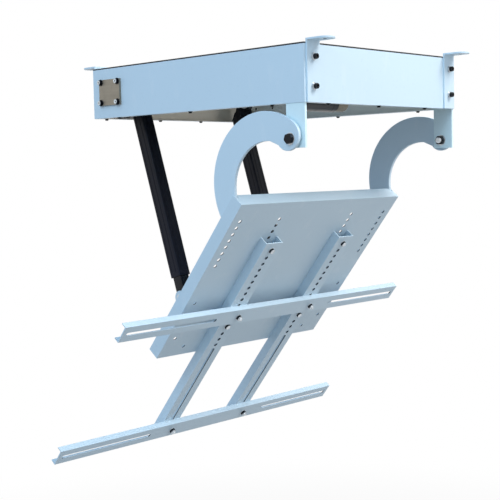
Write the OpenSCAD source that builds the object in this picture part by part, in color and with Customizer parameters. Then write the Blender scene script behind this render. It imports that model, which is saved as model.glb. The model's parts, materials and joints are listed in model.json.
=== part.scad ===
// Motorised flip-down ceiling lift for a television.
// Origin: centre of the four ceiling holes, on the top faces of the ears.
// X runs across the housing, Y from its front to its rear, Z up.

/* [Housing] */
// Width of the housing across its side panels
housing_w = 552; // [540:1:620]
// Length of the housing from front to rear
housing_l = 700; // [690:1:800]
// Height of the housing panels
housing_h = 120; // [110:1:150]
// Thickness of the sheet that the housing is folded from
sheet = 2; // [1.5:0.5:3]
// Width of the lips folded inwards along the bottom edges
lip_w = 14; // [12:1:20]

/* [Ceiling brackets] */
// Width of each angle bracket
bracket_w = 41; // [34:1:50]
// Thickness of the bracket plate
bracket_t = 4; // [3:0.5:6]
// Reach of the ear that lies on the ceiling
ear_l = 57; // [52:1:75]
// Height of the ear's top face above the housing
ear_rise = 11; // [6:1:30]
// Distance from the housing to the ear's hole
ear_hole_out = 35; // [24:1:38]
// Diameter of the ear's hole
ear_hole_d = 9; // [7:0.5:12]
// Distance of the brackets' centre lines from the middle
bracket_x = 250; // [200:1:250]
// Diameter of the bracket bolts
bracket_bolt_d = 8; // [6:1:10]

/* [Flip pivot] */
// Distance of the flip pivot behind the housing's front face
pivot_back = 33; // [28:1:45]
// Distance of the flip pivot below the housing
pivot_drop = 74.5; // [66:0.5:90]
// Width of the lug plates
lug_w = 52; // [50:1:70]
// Thickness of the lug plates
lug_t = 6; // [4:1:8]
// Depth of the lug below the pivot
lug_tail = 19; // [17:1:40]
// Diameter of the pivot bolts
pivot_d = 14; // [10:1:18]
// Radial running clearance of pins and bolts that turn
running = 0.05; // [0.02:0.01:0.1]
// Angle of the screen plate below the ceiling, as drawn
tilt = 51.3; // [48:0.1:54]

/* [Hook arms] */
// Thickness of the hook arms
arm_t = 7.8; // [6:0.1:10]
// Radius of the arm's eye round the pivot
eye_r = 32; // [30:1:34]
// Distance from the pivot bolt back to the eye's centre
eye_back = 11; // [6:1:12]
// Radius of the hook's outer edge
hook_outer_r = 153.5; // [150:0.5:156]
// Radius of the hook's inner edge
hook_inner_r = 100; // [96:1:102]
// Length of the leg welded inside the screen plate
leg_l = 132; // [110:1:200]

/* [Screen plate] */
// Width of the screen plate
plate_w = 576; // [576:1:640]
// Height of the screen plate
plate_l = 475; // [465:1:560]
// Depth of its folded edges
plate_d = 33; // [30:1:40]
// Thickness of its sheet
plate_t = 2; // [1.5:0.5:2.5]
// Distance of the plate's top edge from the pivot, along the plate
plate_reach = 198; // [196:1:206]
// Distance of the plate's front face behind the pivot
plate_rise = 26.5; // [26:0.5:30]
// Diameter of the holes in the plate and the channels
hole_d = 9.5; // [6:0.5:11]
// Pitch of the holes
hole_pitch = 18.8; // [16:0.1:20]
// Distance of the outer rows of holes from the middle
outer_row_x = 262.5; // [240:0.5:266]

/* [Channels and rails] */
// Distance of the channels from the middle
channel_x = 132; // [80:1:136]
// Width of the upright channels
channel_w = 56; // [36:1:60]
// Depth of the upright channels
channel_d = 23; // [20:1:32]
// Thickness of the channels and rails
profile_t = 2.5; // [2:0.5:3]
// Distance of the channels' top end below the plate's top edge
channel_top = 104; // [80:1:108]
// Length of the channels
channel_l = 649; // [644:1:760]
// Pitch of the holes in the channels
channel_pitch = 19; // [18:0.1:22]
// Distance of the upper rail below the plate's top edge
upper_rail_at = 325; // [305:1:335]
// Distance between the two rails
rail_spacing = 405; // [390:1:408]
// Length of the cross rails
rail_l = 984; // [800:1:1100]
// Width of the cross rails' faces
rail_w = 46; // [40:1:50]
// Depth of the cross rails
rail_d = 15; // [12:1:18]
// Width of the long slots in the rails and channels
slot_w = 9.5; // [7:0.5:10.5]
// Diameter of the bolts through channels and rails
fixing_d = 8; // [6:1:8]

/* [Drive tubes] */
// Distance of the drive tubes from the middle
drive_x = 178; // [165:1:184]
// Width of the outer tubes
tube_w = 36; // [34:1:38]
// Wall of the outer tubes
tube_wall = 2.5; // [2:0.5:2.5]
// Width of the inner tubes
inner_w = 29; // [28:0.5:29]
// Wall of the inner tubes
inner_wall = 3; // [2:0.5:4]
// Distance of the rear shaft from the housing's rear face
shaft_back = 69; // [66:1:90]
// Height of the rear shaft above the housing's lower edge
shaft_up = 62; // [56:1:66]
// Diameter of the rear shaft
shaft_d = 20; // [16:1:22]
// Distance of the rear shaft in front of the drive tubes' centre lines
shaft_offset = 16; // [10:1:20]
// Distance of the lower pin below the plate's top edge
pin_down = 375; // [365:1:385]
// Height of the lower pin above the plate's folded edge
pin_out = 62; // [54:0.5:68]
// Diameter of the lower pins
pin_d = 12; // [10:1:14]
// Thickness of the bracket ears that hold the lower pins
bracket_ear_t = 5; // [4:1:6]
// Diameter of the lead screws
screw_d = 12; // [10:1:14]

/* [Hidden] */
$fn = 48;

coat = [0.84, 0.89, 0.94];
steel = [0.66, 0.68, 0.7];
black = [0.07, 0.07, 0.09];
dark_grey = [0.2, 0.21, 0.23];

left = -1;
right = 1;

// Housing faces
side_x = housing_w/2;
inner_x = side_x - sheet;
front_y = -housing_l/2;
rear_y = housing_l/2;
top_z = -ear_rise;
floor_z = top_z - housing_h;

// Flip pivot and the plate that turns on it
pivot_y = front_y + pivot_back;
pivot_z = floor_z - pivot_drop;
spacer_t = 4;
side_gap = 0.2;
arm_x = inner_x + spacer_t + side_gap;
arm_out_x = arm_x + arm_t;
plate_side_x = max(plate_w/2, arm_out_x + plate_t);
face_h = plate_rise;
back_h = plate_rise + plate_d;

// Lower pin, in the swinging frame and in the row's frame
pin_a = plate_reach + pin_down;
pin_h = back_h + pin_out;
pin_y = pivot_y + pin_a*cos(tilt) + pin_h*sin(tilt);
pin_z = pivot_z - pin_a*sin(tilt) + pin_h*cos(tilt);

// Rear shaft and the line from the lower pin to it
shaft_y = rear_y - shaft_back;
shaft_z = floor_z + shaft_up;
pin_to_shaft = norm([shaft_y - pin_y, shaft_z - pin_z]);
drive_lean = atan2(shaft_y - pin_y, shaft_z - pin_z) + asin(shaft_offset/pin_to_shaft);
drive_l = sqrt(pin_to_shaft*pin_to_shaft - shaft_offset*shaft_offset);

// Drive tube lengths, measured up from the lower pin
head_drop = 54;
ring_clear = 8;
ring_wall = 8;
ring_w = 12;
ring_r = shaft_d/2 + ring_clear + ring_wall;
ring_out = tube_w/2 + 2.5;
tube_start = 53;
tube_end = drive_l - head_drop;
collar_l = 12;
motor_l = 72;
motor_gap = 0.4;
screw_top = tube_end - motor_l;
inner_start = 22;
inner_end = screw_top - 8;
nut_l = 30;
slide_gap = 0.5;

module at_sides(x) {
    for (s = [left, right]) translate([s*x, 0, 0]) children();
}

module swing_frame() {
    translate([0, pivot_y, pivot_z]) rotate([-tilt, 0, 0]) children();
}

module drive_frame(s) {
    translate([s*drive_x, pin_y, pin_z]) rotate([-drive_lean, 0, 0]) children();
}

// A cylinder along X from x0 to x1
module x_rod(r, x0, x1) {
    translate([x0, 0, 0]) rotate([0, 90, 0]) cylinder(r = r, h = x1 - x0);
}

// A six-sided head or nut along Z, measured across its flats
module hexagon(across, h) {
    cylinder(d = across/cos(30), h = h, $fn = 6);
}

module x_hexagon(across, x0, x1) {
    translate([x0, 0, 0]) rotate([0, 90, 0]) hexagon(across, x1 - x0);
}

module block(x0, x1, y0, y1, z0, z1) {
    translate([x0, y0, z0]) cube([x1 - x0, y1 - y0, z1 - z0]);
}

module z_slot(w, x0, x1, h) {
    translate([x0, 0, 0]) cylinder(d = w, h = h);
    translate([x1, 0, 0]) cylinder(d = w, h = h);
    translate([x0, -w/2, 0]) cube([x1 - x0, w, h]);
}

// Points of an arc about c, from angle a0 to a1
function arc(c, r, a0, a1, n) = [for (i = [0:n]) let (a = a0 + (a1 - a0)*i/n) c + r*[cos(a), sin(a)]];

/* Housing */
module top_plate() color(coat)
    block(-inner_x, inner_x, front_y + sheet, rear_y - sheet, top_z - sheet, top_z);

lug_front_y = front_y + sheet;
lug_rear_y = lug_front_y + lug_w;
lip_screw_r = 2;
lip_screw_y = [-250, 6, 262];
front_lip_screw_x = [-190, -13, 164];
rear_lip_screw_x = [-244, -64, 83, 230];
lip_mid = sheet + lip_w/2;

module side_panel(s) color(coat) difference() {
    union() {
        block(min(s*inner_x, s*side_x), max(s*inner_x, s*side_x), front_y, rear_y, floor_z, top_z);
        block(min(s*inner_x, s*(inner_x - lip_w)), max(s*inner_x, s*(inner_x - lip_w)),
            lug_rear_y + 3, rear_y - sheet, floor_z, floor_z + sheet);
    }
    translate([0, shaft_y, shaft_z]) x_rod(boss_r + 0.3, s*side_x - 5, s*side_x + 5);
    bearing_holes() x_rod(bearing_screw_r + 0.2, s*side_x - 5, s*side_x + 5);
    for (y = lip_screw_y) translate([s*(side_x - lip_mid), y, floor_z - 1])
        cylinder(r = lip_screw_r + 0.2, h = sheet + 2);
}

module end_panel(y_out, y_in, lip_screw_x) color(coat) difference() {
    lip_y = y_in + sign(y_in - y_out)*lip_w;
    union() {
        block(-inner_x, inner_x, min(y_out, y_in), max(y_out, y_in), floor_z, top_z);
        block(-(inner_x - lip_w - 0.5), inner_x - lip_w - 0.5, min(y_in, lip_y), max(y_in, lip_y),
            floor_z, floor_z + sheet);
    }
    bracket_holes() translate([0, y_out - 10, 0]) rotate([-90, 0, 0])
        cylinder(d = bracket_bolt_d + 0.4, h = 20);
    for (x = lip_screw_x) translate([x, y_out + sign(y_in - y_out)*lip_mid, floor_z - 1])
        cylinder(r = lip_screw_r + 0.2, h = sheet + 2);
}

module lip_screw() {
    cylinder(r = lip_screw_r, h = sheet + 1);
    translate([0, 0, -3.5]) cylinder(r = 5, h = 3.5);
    translate([0, 0, sheet]) hexagon(8, 3);
}

module lip_screws() color(black) translate([0, 0, floor_z]) {
    for (y = lip_screw_y) at_sides(side_x - lip_mid) translate([0, y, 0]) lip_screw();
    for (x = front_lip_screw_x) translate([x, front_y + lip_mid, 0]) lip_screw();
    for (x = rear_lip_screw_x) translate([x, rear_y - lip_mid, 0]) lip_screw();
}

/* Ceiling brackets */
bracket_bolt_z = [top_z - 26, floor_z + 33];

module bracket_holes() {
    for (x = [-bracket_x, bracket_x]) for (z = bracket_bolt_z) translate([x, 0, z]) children();
}

// e is -1 at the front and 1 at the rear
module ceiling_bracket(s, e) color(coat) difference() {
    union() {
        block(s*bracket_x - bracket_w/2, s*bracket_x + bracket_w/2,
            min(e*rear_y, e*(rear_y + bracket_t)), max(e*rear_y, e*(rear_y + bracket_t)), floor_z, 0);
        block(s*bracket_x - bracket_w/2, s*bracket_x + bracket_w/2,
            min(e*rear_y, e*(rear_y + ear_l - bracket_w/2)),
            max(e*rear_y, e*(rear_y + ear_l - bracket_w/2)), -bracket_t, 0);
        translate([s*bracket_x, e*(rear_y + ear_l - bracket_w/2), -bracket_t])
            cylinder(d = bracket_w, h = bracket_t);
    }
    translate([s*bracket_x, e*(rear_y + ear_hole_out), -bracket_t - 1])
        cylinder(d = ear_hole_d, h = bracket_t + 2);
    for (z = bracket_bolt_z) translate([s*bracket_x, e*(rear_y + bracket_t/2) - 10, z])
        rotate([-90, 0, 0]) cylinder(d = bracket_bolt_d + 0.4, h = 20);
}

// Each bolt stands outwards through the bracket, with its washers
bracket_nut_h = 6.5;
bracket_nut_across = 13;
bracket_washer_r = 8.5;
bracket_washer_t = 3.5;
bracket_head_h = 7;
bolt_tail = 9;

module bracket_bolt() {
    translate([0, 0, bracket_t + bracket_washer_t]) cylinder(d = bracket_bolt_d + 4, h = bracket_head_h);
    translate([0, 0, bracket_t]) cylinder(r = bracket_washer_r, h = bracket_washer_t);
    translate([0, 0, -sheet - bolt_tail])
        cylinder(d = bracket_bolt_d, h = sheet + bolt_tail + bracket_t + 0.5);
}

module bracket_nut() translate([0, 0, -sheet - bracket_nut_h]) difference() {
    hexagon(bracket_nut_across, bracket_nut_h);
    translate([0, 0, -1]) cylinder(d = bracket_bolt_d, h = bracket_nut_h + 2);
}

module on_end_panels() bracket_holes() {
    translate([0, rear_y, 0]) rotate([-90, 0, 0]) children();
    translate([0, front_y, 0]) rotate([90, 0, 0]) children();
}

module bracket_bolts() color(steel) on_end_panels() bracket_bolt();
module bracket_nuts() color(steel) on_end_panels() bracket_nut();

/* Flip pivot */
lug_rise = 70;
lug_top_z = floor_z + lug_rise;

module pivot_lug(s) color(coat) difference() {
    block(min(s*inner_x, s*(inner_x - lug_t)), max(s*inner_x, s*(inner_x - lug_t)),
        lug_front_y, lug_rear_y, pivot_z - lug_tail, lug_top_z);
    translate([0, pivot_y, pivot_z]) x_rod(pivot_d/2 + 0.1, s*inner_x - 10, s*inner_x + 10);
}

module on_pivot(s) translate([0, pivot_y, pivot_z]) mirror([s < 0 ? 1 : 0, 0, 0]) children();

module pivot_spacer(s) color(steel) on_pivot(s) difference() {
    x_rod(15, inner_x, inner_x + spacer_t);
    x_rod(pivot_d/2 + 0.1, inner_x - 1, inner_x + spacer_t + 1);
}

pivot_head_x = arm_out_x + side_gap;
pivot_nut_l = 11;
pivot_across = 20;
pivot_head_h = 7;
pivot_washer_r = 13;
pivot_washer_t = 2;

module pivot_bolt(s) color(steel) on_pivot(s) {
    x_rod(pivot_d/2, inner_x - lug_t - pivot_nut_l - 4, pivot_head_x + 1);
    x_rod(pivot_washer_r, pivot_head_x, pivot_head_x + pivot_washer_t);
    x_hexagon(pivot_across, pivot_head_x + pivot_washer_t, pivot_head_x + pivot_washer_t + pivot_head_h);
}

module pivot_nuts() color(steel) for (s = [left, right]) on_pivot(s) difference() {
    union() {
        x_rod(pivot_washer_r, inner_x - lug_t - pivot_washer_t, inner_x - lug_t);
        x_hexagon(pivot_across, inner_x - lug_t - pivot_nut_l, inner_x - lug_t - pivot_washer_t);
    }
    x_rod(pivot_d/2, inner_x - lug_t - pivot_nut_l - 1, inner_x + 1);
}

/* Rear shaft, its bearing plates and collars */
bearing_l = 78;
bearing_h = 63;
bearing_t = 6;
boss_wall = 6;
boss_l = 14;
boss_r = shaft_d/2 + boss_wall;
bearing_pitch_y = 64;
bearing_pitch_z = 50;
bearing_screw_r = 3.5;
bearing_head_r = 6.5;
bearing_head_h = 8;

module bearing_holes() {
    for (dy = [-bearing_pitch_y/2, bearing_pitch_y/2]) for (dz = [-bearing_pitch_z/2, bearing_pitch_z/2])
        translate([0, shaft_y + dy, shaft_z + dz]) children();
}

// The plate closes the outer end of the socket that holds the shaft
module bearing_plate(s) color(steel) difference() {
    union() {
        translate([s*(side_x + bearing_t/2), shaft_y, shaft_z])
            cube([bearing_t, bearing_l, bearing_h], center = true);
        translate([0, shaft_y, shaft_z]) mirror([s < 0 ? 1 : 0, 0, 0])
            x_rod(boss_r, side_x - boss_l, side_x);
    }
    translate([0, shaft_y, shaft_z]) mirror([s < 0 ? 1 : 0, 0, 0])
        x_rod(shaft_d/2 + running, side_x - boss_l - 1, side_x);
    bearing_holes() x_rod(bearing_screw_r + 0.2, s*side_x - 8, s*side_x + 8);
}

module bearing_screws() color(dark_grey) for (s = [left, right]) bearing_holes()
    mirror([s < 0 ? 1 : 0, 0, 0]) difference() {
        union() {
            x_rod(bearing_screw_r, side_x - sheet - 8, side_x + bearing_t + 0.5);
            x_rod(bearing_head_r, side_x + bearing_t, side_x + bearing_t + bearing_head_h);
            x_hexagon(11, side_x - sheet - 5, side_x - sheet);
        }
        x_hexagon(5, side_x + bearing_t + 4, side_x + bearing_t + bearing_head_h + 1);
    }

module rear_shaft() color(steel) translate([0, shaft_y, shaft_z]) x_rod(shaft_d/2, -side_x, side_x);

collar_gap = 1.5;
collar_t = 4;

module shaft_collars() color(steel) translate([0, shaft_y, shaft_z])
    for (s = [left, right]) for (k = [-1, 1]) {
        x_mid = s*(drive_x + ring_out + ring_w/2) + k*(ring_w/2 + collar_gap + collar_t/2);
        difference() {
            x_rod(ring_r + 1, x_mid - collar_t/2, x_mid + collar_t/2);
            x_rod(shaft_d/2, x_mid - collar_t, x_mid + collar_t);
        }
    }

/* Electrics inside the housing */
control_w = 150;
control_l = 210;
control_h = 42;
control_y = 20;

module control_box() color(black) difference() {
    block(-control_w/2, control_w/2, control_y, control_y + control_l,
        top_z - sheet - control_h, top_z - sheet);
    for (i = [-2:2]) translate([i*24, control_y - 1, top_z - sheet - control_h/2])
        cube([12, 12, 10], center = true);
}

power_r = 22;
power_x0 = -26;
power_l = 144;
power_y = front_y + 250;
power_z = floor_z + power_r + 2;
nose_l = 38;
spindle_l = 10;
spindle_r = 6;
tail_l = 8;
clamp_inset = 30;
clamp_wall = 3;

module power_unit() color(black) translate([0, power_y, power_z]) {
    x_rod(power_r, power_x0, power_x0 + power_l);
    x_rod(power_r - 2, power_x0 + power_l, power_x0 + power_l + nose_l);
    x_rod(spindle_r, power_x0 + power_l + nose_l, power_x0 + power_l + nose_l + spindle_l);
    x_rod(power_r - 7, power_x0 - tail_l, power_x0);
}

clamp_w = 18;

// Saddles that hold the upper half of the power unit under the top plate
module power_clamps() color(coat) translate([0, power_y, 0])
    for (x = [power_x0 + clamp_inset, power_x0 + power_l - clamp_inset]) difference() {
        block(x - clamp_w/2, x + clamp_w/2, -power_r - clamp_wall, power_r + clamp_wall,
            power_z, top_z - sheet);
        translate([0, 0, power_z]) x_rod(power_r, x - clamp_w, x + clamp_w);
        block(x - clamp_w, x + clamp_w, -power_r, power_r, power_z + power_r*0.7, top_z - sheet - clamp_wall);
    }

/* Hook arms: outlines are [along the plate, behind the pivot] */
outer_c = [120.7, 3.6];
inner_c = [122, -11.4];
eye_c = [0, eye_back];
leg_clear = 0.3;
leg_h0 = face_h + plate_t + leg_clear;
leg_h1 = back_h - 2;
leg_end = plate_reach + leg_l;
hook_in_a = plate_reach + plate_t + 2;
inner_end_a = acos((hook_in_a - inner_c[0])/hook_inner_r);
hook_in_h = inner_c[1] + hook_inner_r*sin(inner_end_a);
outer_end_a = asin((leg_h1 - outer_c[1])/hook_outer_r);

module hook_outline() polygon(concat(
    arc(outer_c, hook_outer_r, outer_end_a, 176, 40),
    arc(eye_c, eye_r, 180, 374, 30),
    arc(inner_c, hook_inner_r, 146, inner_end_a, 28),
    [[hook_in_a + 8, leg_h0], [leg_end - 12, leg_h0], [leg_end, leg_h0 + 10], [leg_end, leg_h1]]));

module hook_arm(s) color(coat) swing_frame() difference() {
    translate([s > 0 ? arm_x : -arm_out_x, 0, 0]) rotate([90, 0, 90])
        linear_extrude(arm_t) hook_outline();
    x_rod(pivot_d/2 + running, s*arm_x - 20, s*arm_x + 20);
}

/* Screen plate: a tray open at its back */
plate_end = plate_reach + plate_l;
row_first = 50;
inner_rows = floor((plate_l - row_first - 20)/hole_pitch);
outer_rows = 8;

module on_plate_face(x, down) translate([x, plate_reach + down, face_h]) children();

module screen_plate() color(coat) swing_frame() difference() {
    block(-plate_side_x, plate_side_x, plate_reach, plate_end, face_h, back_h);
    block(-(plate_side_x - plate_t), plate_side_x - plate_t, plate_reach + plate_t, plate_end - plate_t,
        face_h + plate_t, back_h + 1);
    for (s = [left, right]) {
        block(min(s*(arm_x - 0.5), s*arm_out_x), max(s*(arm_x - 0.5), s*arm_out_x),
            plate_reach - 1, plate_reach + plate_t + 1, hook_in_h - 0.5, back_h + 1);
        for (i = [0:outer_rows - 1]) on_plate_face(s*outer_row_x, row_first + i*hole_pitch)
            translate([0, 0, -1]) cylinder(d = hole_d, h = plate_t + 2);
        for (i = [0:inner_rows]) on_plate_face(s*channel_x, row_first + i*hole_pitch)
            translate([0, 0, -1]) cylinder(d = hole_d, h = plate_t + 2);
        for (d = [[outer_row_x, 297], [outer_row_x, 412], [217, 446]]) on_plate_face(s*d[0], d[1])
            translate([0, 0, -1]) cylinder(d = hole_d, h = plate_t + 2);
    }
    for (down = channel_bolt_down) for (s = [left, right]) on_plate_face(s*channel_x, down)
        translate([0, 0, -1]) cylinder(d = fixing_d + 0.4, h = plate_t + 2);
}

/* Upright channels: a U whose web stands off the plate's front */
channel_bolt_down = [for (i = [4, 17]) row_first + i*hole_pitch];
rail_down = [upper_rail_at, upper_rail_at + rail_spacing];
web_first = channel_top + 45.5;
web_rows = 16;
web_last = web_first + (web_rows - 1)*channel_pitch;
slot_start = web_last + 17;
web_h = face_h - channel_d;
near_bolt = 12;
web_holes = [for (i = [0:web_rows - 1]) let (down = web_first + i*channel_pitch)
    if (abs(down - upper_rail_at) > near_bolt && abs(down - channel_bolt_down[1]) > near_bolt) down];

module channel(s) color(coat) swing_frame() difference() {
    y0 = plate_reach + channel_top;
    y1 = y0 + channel_l;
    block(s*channel_x - channel_w/2, s*channel_x + channel_w/2, y0, y1, web_h, face_h);
    block(s*channel_x - channel_w/2 + profile_t, s*channel_x + channel_w/2 - profile_t,
        y0 - 1, y1 + 1, web_h + profile_t, face_h + 1);
    for (down = web_holes) translate([s*channel_x, plate_reach + down, web_h - 1])
        cylinder(d = hole_d, h = profile_t + 2);
    for (down = concat(channel_bolt_down, [upper_rail_at]))
        translate([s*channel_x, plate_reach + down, web_h - 1])
            cylinder(d = fixing_d + 0.4, h = profile_t + 2);
    translate([s*channel_x, plate_reach + slot_start, web_h - 1]) rotate([0, 0, 90])
        z_slot(slot_w, 0, channel_l + channel_top - slot_start - 12, profile_t + 2);
}

/* Cross rails: shallow channels open towards the plate */
rail_face_h = web_h - rail_d;
rail_slot_x0 = 210;
rail_slot_end = 17;

module rail(down) color(coat) swing_frame() difference() {
    y0 = plate_reach + down - rail_w/2;
    block(-rail_l/2, rail_l/2, y0, y0 + rail_w, rail_face_h, web_h);
    block(-rail_l/2 - 1, rail_l/2 + 1, y0 + profile_t, y0 + rail_w - profile_t,
        rail_face_h + profile_t, web_h + 1);
    for (s = [left, right]) {
        translate([s*channel_x, plate_reach + down, rail_face_h - 1])
            cylinder(d = fixing_d + 0.4, h = profile_t + 2);
        translate([0, plate_reach + down, rail_face_h - 1]) mirror([s < 0 ? 1 : 0, 0, 0])
            z_slot(slot_w, rail_slot_x0, rail_l/2 - rail_slot_end, profile_t + 2);
    }
}

/* Fixings on the plate, along the plate's thickness */
washer_r = 8;
washer_t = 1.6;
head_h = 5.5;
nut_h = 6.5;
nut_across = 13;

module fixing_bolt(h0, h1) {
    translate([0, 0, h0]) cylinder(d = fixing_d, h = h1 - h0);
}

module fixing_nut() difference() {
    hexagon(nut_across, nut_h);
    translate([0, 0, -1]) cylinder(d = fixing_d, h = nut_h + 2);
}

module at_fixings(downs) swing_frame()
    for (x = [-channel_x, channel_x]) for (down = downs) translate([x, plate_reach + down, 0]) children();

module channel_bolts() color(steel) at_fixings(channel_bolt_down) {
    fixing_bolt(web_h - washer_t - 1, face_h + plate_t + nut_h + 3);
    translate([0, 0, web_h - washer_t]) cylinder(r = washer_r, h = washer_t);
    translate([0, 0, web_h - washer_t - head_h]) hexagon(nut_across, head_h);
}

module channel_nuts() color(steel) at_fixings(channel_bolt_down)
    translate([0, 0, face_h + plate_t]) fixing_nut();

module rail_bolts() color(steel) at_fixings(rail_down) {
    fixing_bolt(rail_face_h - washer_t - nut_h - 5, web_h + profile_t + 1);
    translate([0, 0, web_h + profile_t]) hexagon(nut_across, head_h);
}

module rail_nuts() color(steel) at_fixings(rail_down) {
    translate([0, 0, rail_face_h - washer_t - nut_h]) fixing_nut();
    translate([0, 0, rail_face_h - washer_t]) difference() {
        cylinder(r = washer_r, h = washer_t);
        translate([0, 0, -1]) cylinder(d = fixing_d, h = washer_t + 2);
    }
}

/* Drive brackets and pins on the plate's back */
eye_w = 28;
ear_gap = 0.5;
ear_x = eye_w/2 + ear_gap;
ear_foot = 46;
ear_top_r = 17;
bracket_base_t = 4;

module ear_outline() {
    circle(r = ear_top_r);
    polygon([[-ear_top_r, 0], [ear_top_r, 0],
        [ear_foot, -(pin_h - face_h - plate_t)], [-ear_foot, -(pin_h - face_h - plate_t)]]);
}

module drive_bracket(s) color(coat) swing_frame() translate([s*drive_x, 0, 0]) difference() {
    union() {
        for (k = [-1, 1]) translate([k > 0 ? ear_x : -ear_x - bracket_ear_t, pin_a, pin_h])
            rotate([90, 0, 90]) linear_extrude(bracket_ear_t) ear_outline();
        block(-ear_x - bracket_ear_t, ear_x + bracket_ear_t, pin_a - ear_foot, pin_a + ear_foot,
            face_h + plate_t, face_h + plate_t + bracket_base_t);
    }
    translate([0, pin_a, pin_h]) x_rod(pin_d/2 + 0.1, -40, 40);
}

module drive_pin(s) color(steel) swing_frame() translate([s*drive_x, pin_a, pin_h]) {
    x_rod(pin_d/2, -ear_x - bracket_ear_t - 5, ear_x + bracket_ear_t + 1);
    x_rod(9, ear_x + bracket_ear_t, ear_x + bracket_ear_t + 5);
    x_rod(8, -ear_x - bracket_ear_t - 3, -ear_x - bracket_ear_t);
}

/* Drive tubes: built upwards from the lower pin, along Z */
module square_tube(w, wall, z0, z1, corner) {
    translate([0, 0, z0]) linear_extrude(z1 - z0) difference() {
        rounded_square(w, corner);
        rounded_square(w - 2*wall, max(corner - wall, 0.5));
    }
}

module rounded_square(w, r) {
    square([w - 2*r, w], center = true);
    square([w, w - 2*r], center = true);
    for (x = [-1, 1]) for (y = [-1, 1]) translate([x*(w/2 - r), y*(w/2 - r)]) circle(r = r);
}

module inner_tube(s) color(dark_grey) drive_frame(s)
    square_tube(inner_w, inner_wall, inner_start, inner_end, 3);

module rod_eye(s) color(dark_grey) drive_frame(s) difference() {
    union() {
        x_rod(15, -eye_w/2, eye_w/2);
        block(-eye_w/2, eye_w/2, -13, 13, 0, inner_start);
        translate([0, 0, inner_start]) linear_extrude(18) rounded_square(inner_w - 2*inner_wall, 1);
    }
    x_rod(pin_d/2 + running, -40, 40);
    translate([0, 0, inner_start + 4]) cylinder(d = screw_d + 4, h = 40);
}

module drive_nut(s) color(steel) drive_frame(s) difference() {
    translate([0, 0, inner_end - nut_l]) linear_extrude(nut_l) rounded_square(inner_w - 2*inner_wall, 1);
    translate([0, 0, inner_end - nut_l - 1]) cylinder(d = screw_d + 0.4, h = nut_l + 2);
}

groove_w = 4;
groove_depth = 0.8;
tube_corner = 4;

module outer_tube(s) color(black) drive_frame(s) difference() {
    square_tube(tube_w, tube_wall, tube_start + collar_l, tube_end, tube_corner);
    for (a = [0:90:270]) rotate([0, 0, a]) for (k = [-1, 1])
        block(k*7 - groove_w/2, k*7 + groove_w/2, tube_w/2 - groove_depth, tube_w, tube_start, tube_end + 1);
}

module tube_collar(s) color(black) drive_frame(s) difference() {
    translate([0, 0, tube_start]) linear_extrude(collar_l) rounded_square(tube_w, tube_corner);
    translate([0, 0, tube_start - 1]) linear_extrude(collar_l + 2) rounded_square(inner_w + 2*slide_gap, 3);
}

module drive_motor(s) color(steel) drive_frame(s)
    translate([0, 0, screw_top]) cylinder(r = tube_w/2 - tube_wall - motor_gap, h = motor_l);

// The head caps the tube and carries a cranked arm, outboard of the tube, with the eye round the rear shaft
cap_h = 18;
arm_foot = [27, drive_l - 58];
floor_at = (floor_z + 1 - pin_z)/cos(drive_lean);
eye_at = [-shaft_offset, drive_l];
arm_dir = (arm_foot - eye_at)/norm(arm_foot - eye_at);
arm_side = [-arm_dir[1], arm_dir[0]];

module head_cap_outline() polygon([[-tube_w/2, tube_end], [tube_w/2, tube_end],
    [0, tube_end + cap_h], [-tube_w/2, tube_end + cap_h]]);

// Nothing of the arm shows below the housing
module head_arm_outline() difference() {
    union() {
        translate(eye_at) circle(r = ring_r);
        polygon([eye_at - ring_r*arm_side, [-tube_w/2, tube_end + cap_h + 4], [-tube_w/2, tube_end],
            [tube_w/2, tube_end], arm_foot + ring_r*arm_dir*0.7, arm_foot + ring_r*arm_side,
            eye_at + ring_r*arm_side]);
    }
    translate([0, floor_at]) rotate(drive_lean) translate([-head_drop, -2*head_drop]) square(2*head_drop);
}

module gear_head(s) color(black) drive_frame(s) mirror([s < 0 ? 1 : 0, 0, 0]) difference() {
    union() {
        translate([-tube_w/2, 0, 0]) rotate([90, 0, 90])
            linear_extrude(tube_w/2 + ring_out + 1) head_cap_outline();
        translate([ring_out, 0, 0]) rotate([90, 0, 90]) linear_extrude(ring_w) head_arm_outline();
    }
    translate([0, eye_at[0], eye_at[1]]) x_rod(shaft_d/2 + ring_clear, ring_out - 1, ring_out + ring_w + 1);
}

module lead_screw(s) color(steel) drive_frame(s)
    translate([0, 0, inner_start + 12]) cylinder(d = screw_d, h = screw_top - inner_start - 12);

top_plate();
side_panel(left);  // side_panel_left
side_panel(right);  // side_panel_right
end_panel(front_y, front_y + sheet, front_lip_screw_x);  // front_panel
end_panel(rear_y, rear_y - sheet, rear_lip_screw_x);  // rear_panel
ceiling_bracket(left, -1);  // ceiling_bracket_front_left
ceiling_bracket(right, -1);  // ceiling_bracket_front_right
ceiling_bracket(left, 1);  // ceiling_bracket_rear_left
ceiling_bracket(right, 1);  // ceiling_bracket_rear_right
bracket_bolts();
bracket_nuts();
pivot_lug(left);  // pivot_lug_left
pivot_lug(right);  // pivot_lug_right
pivot_spacer(left);  // pivot_spacer_left
pivot_spacer(right);  // pivot_spacer_right
pivot_bolt(left);  // pivot_bolt_left
pivot_bolt(right);  // pivot_bolt_right
pivot_nuts();
bearing_plate(left);  // bearing_plate_left
bearing_plate(right);  // bearing_plate_right
bearing_screws();
rear_shaft();
shaft_collars();
control_box();
power_unit();
power_clamps();
lip_screws();
hook_arm(left);  // hook_arm_left
hook_arm(right);  // hook_arm_right
screen_plate();
channel(left);  // channel_left
channel(right);  // channel_right
rail(rail_down[0]);  // rail_upper
rail(rail_down[1]);  // rail_lower
channel_bolts();
channel_nuts();
rail_bolts();
rail_nuts();
drive_bracket(left);  // drive_bracket_left
drive_bracket(right);  // drive_bracket_right
drive_pin(left);  // drive_pin_left
drive_pin(right);  // drive_pin_right
inner_tube(left);  // inner_tube_left
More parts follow.
